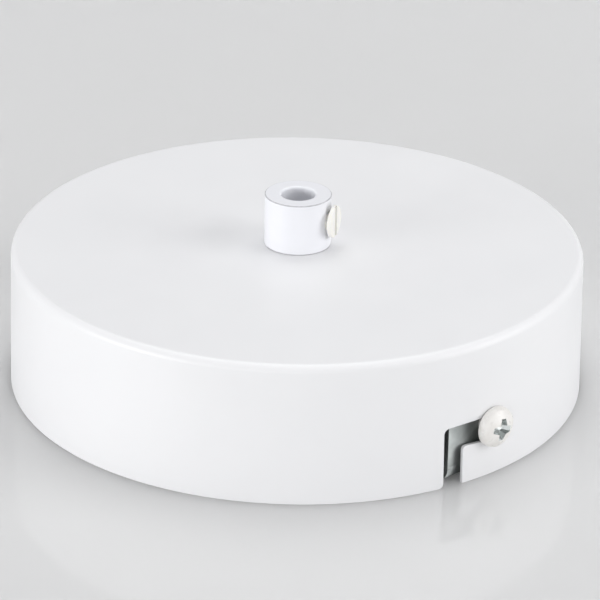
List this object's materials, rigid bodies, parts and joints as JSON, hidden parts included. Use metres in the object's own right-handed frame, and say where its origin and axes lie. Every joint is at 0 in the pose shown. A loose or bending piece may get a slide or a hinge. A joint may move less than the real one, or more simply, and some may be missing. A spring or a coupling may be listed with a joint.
{
  "type": "electrical ceiling rose",
  "caption": "Round white steel ceiling rose: a shallow cup that hooks on side screws, with a cord grip on its crown and a terminal strip on the strap inside.",
  "frame": {"origin": "middle of the cup's rim, on the ceiling plane", "axes": "+Z away from the ceiling, out of the cord grip; +X along the strap to one side screw; +Y across the strap"},
  "size_m": [0.126, 0.12, 0.0405],
  "materials": {
    "canopy_paint": "satin white powder coat",
    "grip_paint": "satin white powder coat",
    "screw_paint": "off-white enamel",
    "clamp_nylon": "natural nylon",
    "zinc_steel": "bright zinc plate",
    "brass": "drawn and turned brass",
    "housing_plastic": "moulded nylon"
  },
  "bodies": {
    "bracket": {"mounting_bracket": "zinc_steel", "terminal_housing": "housing_plastic", "terminal_fixing_screw": "zinc_steel", "live_terminal_tube": "brass", "neutral_terminal_tube": "brass", "earth_terminal_tube": "brass"},
    "canopy": {"canopy_cup": "canopy_paint", "cord_grip": "grip_paint", "lock_nut": "zinc_steel", "toothed_washer": "zinc_steel"},
    "cord_clamp": {"cord_clamp_screw": "clamp_nylon"},
    "front_side_screw": {"side_screw_front": "screw_paint"},
    "rear_side_screw": {"side_screw_rear": "screw_paint"},
    "earth_clamp": {"earth_screw": "zinc_steel", "earth_clamp_plate": "brass"},
    "live_supply_terminal_clamp": {"live_supply_screw": "zinc_steel"},
    "live_lamp_terminal_clamp": {"live_lamp_screw": "zinc_steel"},
    "neutral_supply_terminal_clamp": {"neutral_supply_screw": "zinc_steel"},
    "neutral_lamp_terminal_clamp": {"neutral_lamp_screw": "zinc_steel"},
    "earth_supply_terminal_clamp": {"earth_supply_screw": "zinc_steel"},
    "earth_lamp_terminal_clamp": {"earth_lamp_screw": "zinc_steel"}
  },
  "joints": [
    {"name": "canopy_turn", "type": "hinge", "parent": "bracket", "child": "canopy", "pos_m": [0, 0, 0.0106], "axis": [0, 0, 1], "range_deg": [0, 9.4]},
    {"name": "cord_clamp_travel", "type": "slide", "parent": "canopy", "child": "cord_clamp", "axis": [0.8746, 0.4848, 0], "range_m": [-0.0008, 0.002]},
    {"name": "front_side_screw_travel", "type": "slide", "parent": "bracket", "child": "front_side_screw", "axis": [1, 0, 0], "range_m": [0, 0.002]},
    {"name": "rear_side_screw_travel", "type": "slide", "parent": "bracket", "child": "rear_side_screw", "axis": [-1, 0, 0], "range_m": [0, 0.002]},
    {"name": "earth_clamp_travel", "type": "slide", "parent": "bracket", "child": "earth_clamp", "axis": [0, 0, 1], "range_m": [0, 0.002]},
    {"name": "live_supply_screw_travel", "type": "slide", "parent": "bracket", "child": "live_supply_terminal_clamp", "axis": [0, 0, -1], "range_m": [0, 0.0028]},
    {"name": "live_lamp_screw_travel", "type": "slide", "parent": "bracket", "child": "live_lamp_terminal_clamp", "axis": [0, 0, -1], "range_m": [0, 0.0028]},
    {"name": "neutral_supply_screw_travel", "type": "slide", "parent": "bracket", "child": "neutral_supply_terminal_clamp", "axis": [0, 0, -1], "range_m": [0, 0.0028]},
    {"name": "neutral_lamp_screw_travel", "type": "slide", "parent": "bracket", "child": "neutral_lamp_terminal_clamp", "axis": [0, 0, -1], "range_m": [0, 0.0028]},
    {"name": "earth_supply_screw_travel", "type": "slide", "parent": "bracket", "child": "earth_supply_terminal_clamp", "axis": [0, 0, -1], "range_m": [0, 0.0028]},
    {"name": "earth_lamp_screw_travel", "type": "slide", "parent": "bracket", "child": "earth_lamp_terminal_clamp", "axis": [0, 0, -1], "range_m": [0, 0.0028]}
  ]
}
